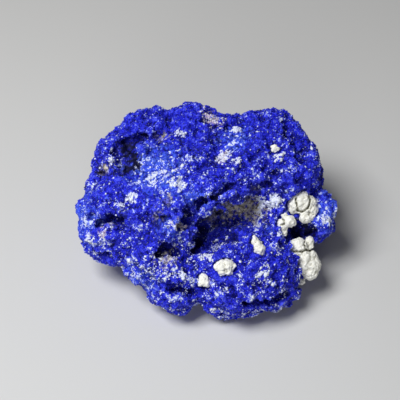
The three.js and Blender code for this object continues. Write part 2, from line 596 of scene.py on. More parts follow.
@dataclass(frozen=True)
class KaolinClay:
    """Kaolin clay, dried as crumbs in the hollows: matt and off-white, with painted highlights on its
    crests and painted grey-green shade in its dents.
    """

    name: str = "kaolin_clay_dried"
    # painted highlight: the palest colour, reached on the crests
    pale: str = "#fafaf2"
    body: str = "#dedccf"
    # painted shade in the dents, and the stain around grit
    dent: str = "#77766a"
    speckle: Grain = Grain(0.45, 4.0, 0.7)  # grit, and the stain around it
    bump: float = 0.2
    bump_strength: float = 0.8
    roughness: float = 0.95
    shine: float = 0.25

    def material(self) -> Material:
        """Makes the material, with painted highlights on the crests stored on the mesh and painted shade in
        the dents.

        Returns:
            The material.
        """
        material, tree, where = blank_material(self.name)
        crest = add_node(tree, "Attribute", "Fac", attribute_name="crest")
        speckle = add_node(tree, "TexNoise", "Fac", self.speckle.inputs(where))
        # the stored crest adds painted highlights; where it is low, grit and painted dent shade show
        light = add_node(tree, "Math", "Value", {0: speckle, 1: 1.0, 2: crest}, operation="MULTIPLY_ADD")
        ramp = ((0.62, self.dent), (0.82, self.body), (1.0, self.pale))
        bump = {"Strength": self.bump_strength, "Distance": self.bump * MM, "Height": speckle}
        finish = {
            "Base Color": add_node(tree, "ValToRGB", "Color", {"Fac": light}, ramp=ramp),
            "Normal": add_node(tree, "Bump", "Normal", bump),
            "Roughness": self.roughness,
            "Specular IOR Level": self.shine,
        }
        plug(tree, tree.nodes["Principled BSDF"], finish)
        return material


@dataclass(frozen=True)
class ClayDust:
    """Kaolin dust, caught between the crystals as loose grains: white, or rose and brown with iron."""

    name: str = "kaolin_dust_settled"
    white: str = "#e6edff"
    rose: str = "#dcc4c2"
    brown: str = "#7d6248"
    roughness: float = 0.85

    def material(self) -> Material:
        """Makes the material, which reads a tint stored on each grain.

        Returns:
            The material.
        """
        material, tree, _ = blank_material(self.name)
        tint = add_node(tree, "Attribute", "Fac", attribute_name="tone")
        ramp = ((0.0, self.white), (0.6, self.rose), (1.0, self.brown))
        colour = add_node(tree, "ValToRGB", "Color", {"Fac": tint}, ramp=ramp)
        plug(tree, tree.nodes["Principled BSDF"], {"Base Color": colour, "Roughness": self.roughness})
        return material


@dataclass(frozen=True)
class PaleFloor:
    """A sheet of matt paper, painted a slightly darker grey behind the specimen as painted light falloff.
    """

    name: str = "paper_sheet_matt"
    near: str = "#d3d4d4"
    # painted shade: the darker grey far behind the specimen
    far: str = "#d1d1d0"
    fade: float = 120.0
    roughness: float = 0.9
    shine: float = 0.1

    def material(self) -> Material:
        """Makes the material.

        Returns:
            The material.
        """
        material, tree, where = blank_material(self.name)
        # painted light falloff, from the near grey in front to the far grey behind
        depth = add_node(tree, "SeparateXYZ", "Y", {0: where})
        reach = self.fade / 2 * MM
        fade = {"Value": depth, "From Min": -reach, "From Max": reach}
        fade = add_node(tree, "MapRange", "Result", fade)
        layers = {"Factor": fade, "A": linear(self.near), "B": linear(self.far)}
        finish = {
            "Base Color": add_node(tree, "Mix", "Result", layers, data_type="RGBA"),
            "Roughness": self.roughness,
            "Specular IOR Level": self.shine,
        }
        plug(tree, tree.nodes["Principled BSDF"], finish)
        return material


# --------------------------------------------------------------------- stains


@dataclass(frozen=True)
class Film:
    """Patches of one stain strewn around a place on the nodule, in millimetres."""

    middle: Point
    radius: float
    strength: float = 1.0
    count: int = 1
    spread: tuple[float, float] = (0, 0)
    vary: tuple[float, float] = (0.7, 1.2)

    def patches(self, places: Array, rng: Chance) -> Iterator[Array]:
        """Strews the patches, each of which settles on the nearest of the places.

        Args:
            places: Points of the crust in metres.
            rng: The seeded source of chance.

        Returns:
            For each patch, how far every point is from its middle, as a share of its radius.
        """
        for _ in range(self.count):
            stray = np.append(rng.uniform(-1, 1, 2) * self.spread, 0)
            wanted = (np.array(self.middle) + stray) * MM
            settled = places[np.linalg.norm(places - wanted, axis=1).argmin()]
            radius = self.radius * (1.0 if self.count == 1 else rng.uniform(*self.vary))
            yield np.linalg.norm(places - settled, axis=1) / (radius * MM)


@dataclass
class StainMap:
    """Where the crust is stained, and by what."""

    ragged: float = 1.3
    ragged_size: float = 0.6
    ragged_layers: int = 3
    fade: tuple[float, float] = (0.5, 0.9)
    seed: int = 41
    films: dict[Stain, tuple[Film, ...]] = field(
        default_factory=lambda: {
            Stain.CHALK: (
                # thin white films high up, right and left
                Film((5, 8, 24.5), 1.2, 1.0, 2, (1.0, 0.5)),
                Film((3, 3.5, 22.5), 1.3),
                Film((5.5, 2, 22.5), 0.8, 0.8),
                Film((13, 3.5, 23), 1.0),
                Film((-8, -1.5, 22), 0.9, 0.9, 10, (4.0, 2.2)),
                Film((-6.5, -2, 22), 3.6, 0.35),
                Film((-4.5, 7, 24.5), 0.7, 0.9, 3, (1.0, 1.0)),
                Film((-16, 4.5, 22), 0.6, 0.9, 2, (0.5, 3.0)),
                # on the left flank
                Film((-12.5, -4.5, 19.5), 0.9, 0.9, 3, (0.7, 1.0)),
                Film((-16, -4.5, 18), 0.9, 0.8, 2, (1.5, 0.3)),
                Film((-20, -7.5, 12.5), 1.1, 1.0, 2, (1.0, 0.7)),
                # strings between the cave and the clay, and on the right rim
                Film((10.5, -1, 15), 1.2, 1.0, 8, (1.5, 1.2)),
                Film((13, -1.5, 16), 1.0, 1.0, 5, (0.8, 1.8)),
                Film((9.5, -3, 12), 0.9),
                Film((14, -6, 13), 0.8),
                Film((21.5, -2, 13.5), 1.0, 1.0, 3, (0.3, 2.5)),
                # low on the front
                Film((0.5, -10.5, 12), 1.1),
                Film((3, -7, 10.5), 1.6, 0.7),
                Film((-5, -14.5, 11), 1.0, 0.8, 4, (4.5, 0.7)),
                Film((-7.5, -13, 11.5), 2.4, 0.4, 6, (5.0, 0.8)),
                Film((9.5, -15, 12), 1.1, 0.8, 2, (0.7, 1.0)),
            ),
            Stain.AZURE: (
                Film((-22.5, -2.5, 12.5), 5.0, 0.9),
                Film((-8.5, -1.5, 22), 3.2, 0.9, 6, (2.5, 3.5)),
                Film((-2, -5.5, 21), 2.2, 0.7),
                Film((5, 6.5, 24), 2.8, 0.8),
                Film((-6, -10, 18.5), 2.4, 0.6),
                Film((22, -2, 13.5), 3.4, 0.9),
                Film((11.5, -4.5, 12), 1.8, 0.5),
                Film((-13.5, -11.5, 7.5), 3.2, 0.6, 2, (2.5, 1.5)),
            ),
            Stain.EARTH: (
                Film((-8, 7.5, 24), 0.9),
                Film((-19, 2.5, 19.5), 1.2),
                Film((-17, -6, 16), 1.0, 0.6, 2, (0.8, 0.3)),
                Film((-7, -11, 13.5), 1.8, 0.9),
                Film((6, -0.5, 14), 2.6, 1.0, 5, (2.5, 0.6)),
                Film((1.5, -2.5, 14), 1.8, 0.7),
                Film((-6, -5.5, 21.5), 0.7, 0.8),
                Film((-8.5, -8, 19), 1.0, 0.6),
            ),
            Stain.SOOT: (
                # painted shade in the slot, in the deep pit, in the gap between the clay and on the cave's
                # floor
                Film((-15, -6.5, 17), 1.8, 0.8),
                Film((-8.5, -8.5, 19), 1.6, 0.7),
                Film((-13.5, 4.5, 22), 1.6, 1.0, 9, (1.0, 3.0)),
                Film((17.5, -2.5, 9), 1.8, 0.95, 6, (2.0, 1.0)),
                Film((2.5, -3.5, 12), 2.7, 0.6, 7, (4.0, 2.0)),
                Film((-1.5, -7.5, 12.5), 3.0, 0.55),
                Film((0, -4, 15.5), 2.4, 0.6),
                Film((-3, -8.5, 15.5), 2.4, 0.5),
            ),
            Stain.ROSE: (
                Film((1, 11, 25.5), 2.0, 0.7),
                Film((3, 3, 22.5), 1.2, 0.5),
                Film((-18, -8, 15), 1.0, 0.8),
                Film((-4, -9, 18), 0.8, 0.9, 3, (0.5, 1.0)),
                Film((0.5, -14, 8.5), 0.7, 0.8),
            ),
        }
    )

    def strength(self, stain: Stain, places: Array) -> Array:
        """How strong a stain is at each place, from 0 to 1, with ragged edges.

        Args:
            stain: The stain.
            places: Points of the crust in metres.

        Returns:
            One value for each point.
        """
        rng = np.random.default_rng(self.seed)
        wobble = wander(places, self.ragged_size, self.ragged_layers, offset=ord(stain.value[0]))
        total = np.zeros(len(places))
        for film in self.films[stain]:
            for distance in film.patches(places, rng):
                cover = 1 - smooth_step(distance + self.ragged * wobble, *self.fade)
                total = np.maximum(total, film.strength * cover)
        return total


# ------------------------------------------------------------ places and balls


@dataclass(frozen=True)
class Track:
    """A line of points on the nodule, in millimetres, along which the crust is hollowed or raised."""

    radius: float
    depth: float
    points: tuple[Point, ...]


@dataclass(frozen=True)
class Hollow(Track):
    """A track along which the crust is hollowed and lined, with painted shade by default and otherwise with
    a stain; strength 0 leaves it bare.
    """

    strength: float = 1.0
    # the default lining is painted shade, laid where shade falls in the hollow
    lining: Stain = Stain.SOOT
    lined: float = 0.8  # how far out the lining is whole, as a share of the radius
    unlined: tuple[float, float] = (1.1, 0.75)  # where it ends, as shares of the radius and the depth

    def nearness(self, places: Array) -> Array:
        """How near places are to the hollow, from 1 inside it to 0 well outside, with soft edges.

        Args:
            places: Points in metres.

        Returns:
            One value for each point.
        """
        stops = np.array(self.points) * MM
        ends = np.concatenate([stops[1:], stops[-1:]])
        total = np.zeros(len(places))
        for start, end in zip(stops, ends, strict=True):
            way = end - start
            share = np.clip((places - start) @ way / max(way @ way, TINY), 0, 1)
            distance = np.linalg.norm(places - start - share[:, None] * way, axis=1) / MM
            inner = self.lined * self.radius
            outer = self.unlined[0] * self.radius + self.unlined[1] * self.depth
            total = np.maximum(total, 1 - smooth_step(distance, inner, outer))
        return total


@dataclass(frozen=True)
class Lobe:
    """A lobe of a clay lump: how far right and up the lump's open face it is, and its radius, in mm."""

    right: float
    up: float
    radius: float


@dataclass(frozen=True)
class Crack:
    """A crack in a clay lump, through points to the right and up its open face, in millimetres."""

    radius: float
    depth: float
    points: tuple[tuple[float, float], ...]


FACE_UP = Vector((0, 1, 1)).normalized()  # up the open face of a clay lump, which looks up and forwards
FACE_OUT = Vector((0, -1, 1)).normalized()  # out of that face

LUMPS: dict[str, tuple[Lobe, ...]] = {
    "clay_upper_right": (
        Lobe(-2.2, -0.2, 0.9),  # left
        Lobe(-2.1, -1.1, 0.8),
        Lobe(-0.4, 0.4, 1.7),  # top
        Lobe(-0.3, 2.2, 0.6),
        Lobe(-0.5, -1.0, 1.0),
        Lobe(1.3, 0.2, 1.2),  # right
        Lobe(1.5, -1.1, 1.2),
        Lobe(0.3, -2.5, 1.2),  # bottom
        Lobe(1.3, -2.2, 0.9),
    ),
    "clay_small_right": (
        Lobe(0.4, 0.6, 1.2),
        Lobe(-0.4, 1.6, 0.6),
        Lobe(-1.2, 0.6, 0.6),
        Lobe(-0.5, -0.2, 0.8),
        Lobe(1.1, 0.3, 0.7),
        Lobe(-0.4, -1.5, 0.6),
    ),
    "clay_lower_right": (
        Lobe(-1.5, 2.6, 1.2),  # shelf
        Lobe(-0.4, 2.4, 0.9),
        Lobe(0.8, 3.3, 1.0),
        Lobe(0.9, 2.2, 0.9),
        Lobe(0.8, 0.3, 1.7),  # hanging end
        Lobe(1.2, -0.9, 1.9),
        Lobe(1.0, -2.2, 1.6),
        Lobe(-0.9, 0.5, 0.9),
        Lobe(-0.6, -0.6, 1.0),
        Lobe(-0.6, -4.0, 0.7),  # crumbs below it
        Lobe(-1.5, -4.5, 0.5),
    ),
    "clay_middle": (
        Lobe(-0.6, 1.5, 0.5),
        Lobe(-0.4, 0.9, 0.7),
        Lobe(-0.1, 0.1, 1.0),
        Lobe(0.3, -0.6, 1.15),
        Lobe(0.6, -1.2, 0.6),
    ),
    "clay_front_large": (
        Lobe(-0.6, 0.1, 1.2),
        Lobe(0.4, 0.3, 1.2),
        Lobe(-1.3, 0.1, 0.8),
        Lobe(1.2, 0.3, 0.8),
        Lobe(-0.5, -0.6, 0.9),
        Lobe(0.6, -0.6, 0.9),
        Lobe(-0.6, 0.9, 0.6),
    ),
    "clay_front_small": (
        Lobe(-0.1, 0.4, 0.9),
        Lobe(0.2, -0.3, 0.9),
        Lobe(-0.5, -0.5, 0.7),
        Lobe(0.5, -0.8, 0.5),
    ),
    "clay_top": (
        Lobe(-0.3, 0.1, 0.6),
        Lobe(-0.8, 0.2, 0.4),
        Lobe(0.2, -0.1, 0.5),
        Lobe(-0.4, -0.4, 0.4),
    ),
}

CRACKS: dict[str, tuple[Crack, ...]] = {
    "clay_upper_right": (
        Crack(0.2, 1.2, ((-1.6, 1.0), (-1.4, 0.0), (-1.1, -1.2))),
        Crack(0.24, 1.4, ((0.8, 1.8), (1.1, 0.6), (0.7, -0.7), (-0.4, -1.5), (-1.3, -1.2))),
        Crack(0.14, 0.6, ((0.7, -0.7), (1.0, -1.6), (1.8, -2.0))),
        Crack(0.12, 0.4, ((-1.4, 1.0), (-0.4, 1.3), (0.8, 1.0))),
    ),
    "clay_small_right": (Crack(0.2, 0.9, ((-1.0, 1.2), (-0.6, 0.9), (-0.5, 0.2), (-1.2, 0.0))),),
    "clay_lower_right": (
        Crack(0.24, 1.2, ((-2.2, 1.5), (-0.8, 1.5), (0.2, 1.8), (0.9, 1.6), (1.9, 2.1))),
        Crack(0.18, 1.0, ((0.1, 3.8), (-0.2, 2.8), (0.2, 1.8))),
        Crack(0.12, 0.5, ((-0.5, 1.3), (-0.3, 0.2), (-0.4, -1.0), (0.0, -2.2))),
    ),
}


def on_face(node: str, right: float, up: float, out: float = 0.0) -> Vector:
    """Finds a place on the open face of a clay lump.

    Args:
        node: The lump's solid.
        right: How far right of the middle of its box, in millimetres.
        up: How far up the face.
        out: How far out of it.

    Returns:
        The place in metres.
    """
    low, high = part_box(node)
    return (low + high) / 2 + (Vector((right, 0, 0)) + FACE_UP * up + FACE_OUT * out) * MM


def stride(stops: Sequence[Vector], step: float) -> list[Vector]:
    """Walks from stop to stop in even strides.

    Args:
        stops: The stops.
        step: The longest stride.

    Returns:
        Every place stepped on.
    """
    walk = [stops[0]]
    for start, end in zip(stops, stops[1:], strict=False):
        strides = max(1, math.ceil((end - start).length / step))
        walk += [start.lerp(end, k / strides) for k in range(1, strides + 1)]
    return walk


def along(track: Track, obj: Object, step: float) -> tuple[Array, Array]:
    """Walks along a track on an object.

    Args:
        track: The track.
        obj: The object whose surface it follows.
        step: How far one stride goes, as a share of the track's radius.

    Returns:
        The places on the surface, and the way out of it at each.
    """
    walk = stride([Vector(p) * MM for p in track.points], track.radius * step * MM)
    found = [obj.closest_point_on_mesh(p)[1:3] for p in walk]
    return np.array([f[0] for f in found]), np.array([f[1] for f in found])


def chain_of_balls(name: str, balls: Sequence[tuple[Array, Array]]) -> Object:
    """Models balls as one object, as by hand: one ball is made and copied to each place.

    Args:
        name: The object's name.
        balls: For each group of balls, their middles and radii in metres.

    Returns:
        The object, whose balls may pass through each other.
    """
    bpy.ops.object.select_all(action="DESELECT")
    bpy.ops.mesh.primitive_ico_sphere_add(subdivisions=2, radius=1.0, location=(0, 0, 0))
    shape = Shape.taken_from(bpy.context.object)
    middles, radii = (np.concatenate(group) for group in zip(*balls, strict=True))
    turns = np.repeat(np.eye(3)[None], len(radii), 0)
    return shape.spread(name, middles, turns, np.repeat(radii[:, None], 3, 1), 0.0)


# ---------------------------------------------------------------------- crust


@dataclass
class Relief:
    """The cracks, pits and caves of the crust, and the lips and knobs that stand over them."""

    hollows: tuple[Hollow, ...] = (
        # pits on the upper left
        Hollow(0.8, 2.4, ((-11, 7.5, 23.5), (-12.5, 7.5, 23), (-14, 7, 22.5)), 0.8),
        Hollow(1.2, 3.0, ((-13.5, 5.5, 23), (-12.5, 3.5, 23), (-13, 3, 23)), 0.9),
        Hollow(0.8, 1.6, ((-14, 4, 22.5), (-14.5, 2.5, 22), (-13.5, 1.5, 22)), 0.5),
        Hollow(0.6, 1.6, ((-14.5, 1.5, 22), (-13, 0.5, 21.5), (-12, -0.5, 22)), 0.7),
        Hollow(0.7, 1.6, ((-8, 7, 24),), 1.0, Stain.EARTH),
        Hollow(0.6, 1.2, ((-9.5, 10, 25), (-10.5, 9.5, 24.5)), 0.0),
        Hollow(0.7, 1.0, ((-6.5, 11.5, 25),), 0.0),
        Hollow(0.5, 1.4, ((-7, 2, 23), (-5.5, 2, 23))),
        Hollow(0.5, 1.2, ((-13, -1.5, 21),), 0.6),
        # notch and slot on the left
        Hollow(0.9, 2.0, ((-19.5, 4, 18.5), (-18.5, 1.5, 19.5)), 0.8, Stain.EARTH),
        Hollow(0.9, 2.8, ((-18.5, -6, 16), (-16.5, -6, 16.5), (-14.5, -7, 17.5)), 0.9),
        Hollow(0.5, 1.0, ((-13, -6, 18),), 0.7, Stain.ROSE),
        Hollow(0.6, 1.5, ((-9.5, -8.5, 19.5), (-8, -9, 20), (-7, -9, 20)), 0.8),
        Hollow(0.8, 1.8, ((-18.5, -8.5, 10), (-16.5, -9.5, 9.5), (-14.5, -10, 8)), 0.5),
        # the long groove under the ledge
        Hollow(0.6, 2.2, ((-3.5, -7, 20.5), (-2, -6.5, 20.5), (0, -5.5, 21), (2, -4.5, 21), (5, -3, 21.5))),
        Hollow(0.9, 1.8, ((8.5, -1.5, 19.5), (10, -1, 20), (11.5, -1, 20)), 0.5),
        Hollow(0.5, 1.4, ((11.5, 0, 21), (13, 0.5, 22)), 0.7),
        Hollow(0.6, 1.4, ((-7, -6, 21.5), (-6, -6, 21.5)), 0.5, Stain.EARTH),
        Hollow(0.6, 1.6, ((-5, -8, 20.5), (-3.5, -7.5, 20.5))),
        # the arc over the cave, and the cave's back
        Hollow(0.9, 3.0, ((-4.5, -10, 18), (-3.5, -9.5, 19), (-2.5, -9, 19), (-1, -8.5, 18))),
        Hollow(1.0, 2.6, ((0, -5, 12.5), (-1, -7, 12), (-2, -9, 12.5)), 0.8),
        Hollow(1.5, 3.0, ((3, -3, 14.5), (5, -2, 16), (7, -0.5, 15.5)), 0.9, Stain.EARTH),
        Hollow(0.7, 1.8, ((8, -6.5, 14),)),
        # holes low on the left front
        Hollow(1.3, 2.8, ((-8, -11.5, 14), (-7, -10.5, 14)), 0.7),
        Hollow(0.8, 2.4, ((-6, -10.5, 14.5), (-5, -11.5, 13))),
        Hollow(1.1, 2.2, ((-6, -16, 9), (-4, -15.5, 8.5), (-2.5, -16, 8.5)), 0.5),
        Hollow(0.5, 1.2, ((-9.5, -14, 9.5),)),
        # gaps around the clay on the right
        Hollow(0.8, 2.2, ((18, -0.5, 17.5), (19, -1, 17))),
        Hollow(1.1, 2.6, ((14.5, -5.5, 11.5), (16.5, -3, 10), (18, -2.5, 10.5), (19.5, -3, 11))),
        Hollow(1.2, 2.6, ((15, -5.5, 12.5), (16, -5, 12), (17.5, -4.5, 11.5), (19, -4.5, 11))),
        Hollow(0.9, 2.0, ((19.5, -4.5, 9), (20.5, -5, 7.5))),
        Hollow(0.5, 1.4, ((11, -9, 13.5), (13, -8, 12.5), (14.5, -6.5, 12)), 0.7),
        Hollow(0.8, 1.8, ((20, 2.5, 19),)),
        Hollow(0.5, 1.2, ((5.5, 11.5, 24.5),), 0.8),
        # the undercut along the front foot
        Hollow(
            0.9,
            2.2,
            ((6.5, -18, 7), (8.5, -18, 7.5), (11, -17.5, 7), (13.5, -16.5, 6.5), (15, -15, 7)),
            0.4,
        ),
        # the cave's dark mouth and its roof
        Hollow(1.2, 4.0, ((-1, -8.5, 17.5), (0.5, -7, 17), (2, -6, 18), (3.5, -6, 18.5)), 0.6),
        Hollow(0.9, 2.2, ((3.5, -3.5, 18), (5.5, -2, 18.5), (7.5, -1.5, 18), (9, -1, 18)), 0.4),
    )
    valleys: tuple[Track, ...] = (
        # between the lumps of the upper mass
        Track(1.0, 0.8, ((-7, 12.5, 25), (-7, 10, 25), (-8, 8, 24.5))),
        Track(1.2, 0.7, ((0.5, 9, 26), (3, 9.5, 24.5), (6, 11, 24.5))),
        Track(1.4, 1.4, ((14.5, 9, 24.5), (16, 8, 23.5), (17, 6, 22.5), (17.5, 4, 22))),
        Track(1.1, 1.0, ((-15, 7, 23.5), (-15.5, 4.5, 23), (-15, 2, 22.5))),
        Track(0.7, 0.9, ((10, 0.5, 22.5), (11.5, 0, 21.5), (13.5, 0, 20.5))),
        Track(0.6, 0.8, ((-8, -4.5, 22), (-7, -6.5, 21.5), (-6, -8, 21))),
        Track(0.8, 0.8, ((-16.5, -0.5, 19.5), (-15, -3, 19), (-14.5, -4.5, 18.5))),
        Track(0.5, 1.0, ((-14, -6, 18), (-11.5, -7.5, 18.5), (-9.5, -8.5, 19.5))),
        Track(0.7, 0.7, ((6, 1, 22.5), (8, 2, 23), (10, 3.5, 23.5))),
        Track(0.7, 0.7, ((-5.5, 7, 24.5), (-3.5, 5.5, 24), (-2.5, 4.5, 23))),
        Track(0.6, 0.8, ((0, 4, 23.5), (1.5, 3, 22), (2, -0.5, 23))),
        Track(0.5, 0.8, ((-11.5, -0.5, 22), (-9.5, -3, 22), (-8.5, -5, 21.5))),
        Track(0.5, 0.7, ((-6, 1, 23), (-4.5, 0, 23), (-2.5, 0.5, 23.5))),
        # between the lobes of the front mass
        Track(0.7, 0.9, ((-13, -11.5, 11.5), (-11.5, -13.5, 11), (-10, -14, 8))),
        Track(0.6, 0.9, ((-4.5, -12.5, 12), (-2.5, -13.5, 11.5), (-2, -15, 9.5))),
        Track(0.6, 1.0, ((6, -10.5, 13.5), (7.5, -12, 13.5), (6.5, -14, 13))),
        Track(0.6, 0.9, ((7, -16.5, 11), (9.5, -16.5, 10.5), (13, -15.5, 9.5))),
        Track(0.6, 0.8, ((1.5, -15.5, 10), (4, -16.5, 10), (5.5, -17.5, 9.5))),
        Track(0.7, 1.2, ((11, -2.5, 12.5), (11, -6, 13))),
        Track(0.8, 0.8, ((-20, -4.5, 16), (-21.5, -5, 14), (-20, -7.5, 13.5))),
    )
    lips: tuple[Track, ...] = (
        Track(1.1, 0.55, ((-4.5, -7, 21), (-2.5, -6, 21), (0, -4.5, 21.5), (2.5, -3, 22))),
        Track(1.3, 0.6, ((4.5, -2, 22), (8, 0, 21.5), (11, 0.5, 21.5))),
        Track(1.1, 0.7, ((-2.5, -8, 20), (0, -7, 20.5), (2.5, -6, 21), (5, -4.5, 21))),
        Track(1.6, 0.8, ((13.5, 10, 24.5), (16, 9.5, 22.5), (18, 7, 21.5), (19.5, 4.5, 20))),
        Track(1.4, 0.7, ((-14.5, 11, 22.5), (-11.5, 13, 23.5))),
        Track(1.2, 0.6, ((19, 3, 20), (19.5, 1.5, 19))),
        Track(1.2, 0.7, ((-3, -10, 16),)),
        Track(0.9, 0.5, ((-5, -9.5, 20), (-6, -10, 18.5), (-6.5, -10.5, 17))),
        Track(0.9, 0.5, ((-18.5, -5, 17.5), (-15.5, -5, 17.5), (-13.5, -6.5, 18.5))),
        Track(1.0, 0.5, ((-21.5, -6.5, 11.5), (-18.5, -8.5, 13.5), (-15.5, -9, 14.5))),
        Track(1.0, 0.5, ((-10, 5.5, 23.5), (-9, 3, 23))),
        Track(1.4, 0.6, ((22, 0, 15), (22, -1.5, 13), (22, -3.5, 11))),
        Track(1.4, 0.6, ((7.5, -14, 13), (11, -13.5, 12), (14, -11.5, 11.5))),
        Track(1.2, 0.5, ((3.5, -17.5, 8.5), (5, -18, 8))),
    )
    bore_step: float = 0.5
    bore_width: float = 0.8
    bore_taper: float = 0.45
    bore_spread: tuple[float, float] = (0.68, 1.32)
    bore_drift: float = 0.25
    tool_voxel: float = 0.25
    tool_bumps: Bumps = ((Pattern.SWELLS, 1.2, 0.7),)
    pocket_depth: float = 2.4
    pocket_step: float = 0.4
    pocket_gap: float = 0.15
    lining_depth: tuple[float, float] = (0.5, 1.4)
    lip_step: float = 0.6
    lip_spread: tuple[float, float] = (0.85, 1.15)
    knob_count: int = 700
    knob_sizes: tuple[float, float] = (0.7, 2.0)
    knob_height: float = 0.6
    knob_spread: tuple[float, float] = (0.4, 1.0)
    knob_limit: float = 1.2
    seed: int = 5

    def raise_lips(self, crust: Object) -> Object:
        """Models the lips and the knobs that stand out of the crust.

        Args:
            crust: The object whose surface they follow.

        Returns:
            Their balls as one object.
        """
        rng = np.random.default_rng(self.seed)
        balls = []
        for track in self.lips:
            on, out = along(track, crust, self.lip_step)
            size = track.radius * rng.uniform(*self.lip_spread, len(on))
            balls.append((on + out * ((track.depth - size) * MM)[:, None], size * MM))
        ground = Ground.of(crust, [])
        on, out, _ = ground.scatter(self.knob_count, rng, np.ones(len(ground.places)))
        size = rng.uniform(*self.knob_sizes, self.knob_count)
        share = rng.uniform(*self.knob_spread, self.knob_count)
        height = self.knob_height * share * np.minimum(size, self.knob_limit)
        balls.append((on + out * ((height - size) * MM)[:, None], size * MM))
        return chain_of_balls("lips_and_knobs", balls)

    def bore(self, track: Track, obj: Object, rng: Chance) -> tuple[Array, Array]:
        """Lays balls from the mouth of a hollow down to its bottom, narrower as they go down.

        Args:
            track: The hollow's track.
            obj: The object whose surface it follows.
            rng: The seeded source of chance.

        Returns:
            The balls' middles and radii in metres.
        """
        middles, radii = [], []
        on, out = along(track, obj, self.bore_step)
        for down in np.arange(0, track.depth, self.bore_step * track.radius):
            narrow = 1 - self.bore_taper * down / track.depth
            size = self.bore_width * track.radius * narrow * rng.uniform(*self.bore_spread, len(on))
            drift = rng.normal(0, self.bore_drift * track.radius, (len(on), 3))
            middles.append(on - out * down * MM + drift * MM)
            radii.append(size * MM)
        return np.concatenate(middles), np.concatenate(radii)

    def hollow_tool(self, crust: Object) -> Object:
        """Models what is cut out of the crust: the hollows, the valleys and the clay lumps' pockets.

        Args:
            crust: The object whose surface the hollows follow.

        Returns:
            The tool.
        """
        rng = np.random.default_rng(self.seed + 1)
        balls = [self.bore(track, crust, rng) for track in self.hollows + self.valleys]
        steps = np.arange(0, self.pocket_depth, self.pocket_step)
        for node, lump in LUMPS.items():
            for lobe in lump:
                middles = np.array([on_face(node, lobe.right, lobe.up, out) for out in steps])
                balls.append((middles, np.full(len(steps), (lobe.radius + self.pocket_gap) * MM)))
        tool = chain_of_balls("hollow_tool", balls)
        remesh(tool, self.tool_voxel)
        roughen(tool, self.tool_bumps)
        remesh(tool, self.tool_voxel)
        return tool

    def lining(self, stain: Stain, places: Array, below: Array) -> Array:
        """How strongly the hollows are lined with a stain, which for most of them is painted shade.

        Args:
            stain: The stain.
            places: Points in metres.
            below: How far each point is below the nodule's own surface, in millimetres.

        Returns:
            One value for each point, from 0 to 1.
        """
        total = np.zeros(len(places))
        for track in self.hollows:
            if track.lining is stain:
                total = np.maximum(total, track.strength * track.nearness(places))
        return total * smooth_step(below, *self.lining_depth)


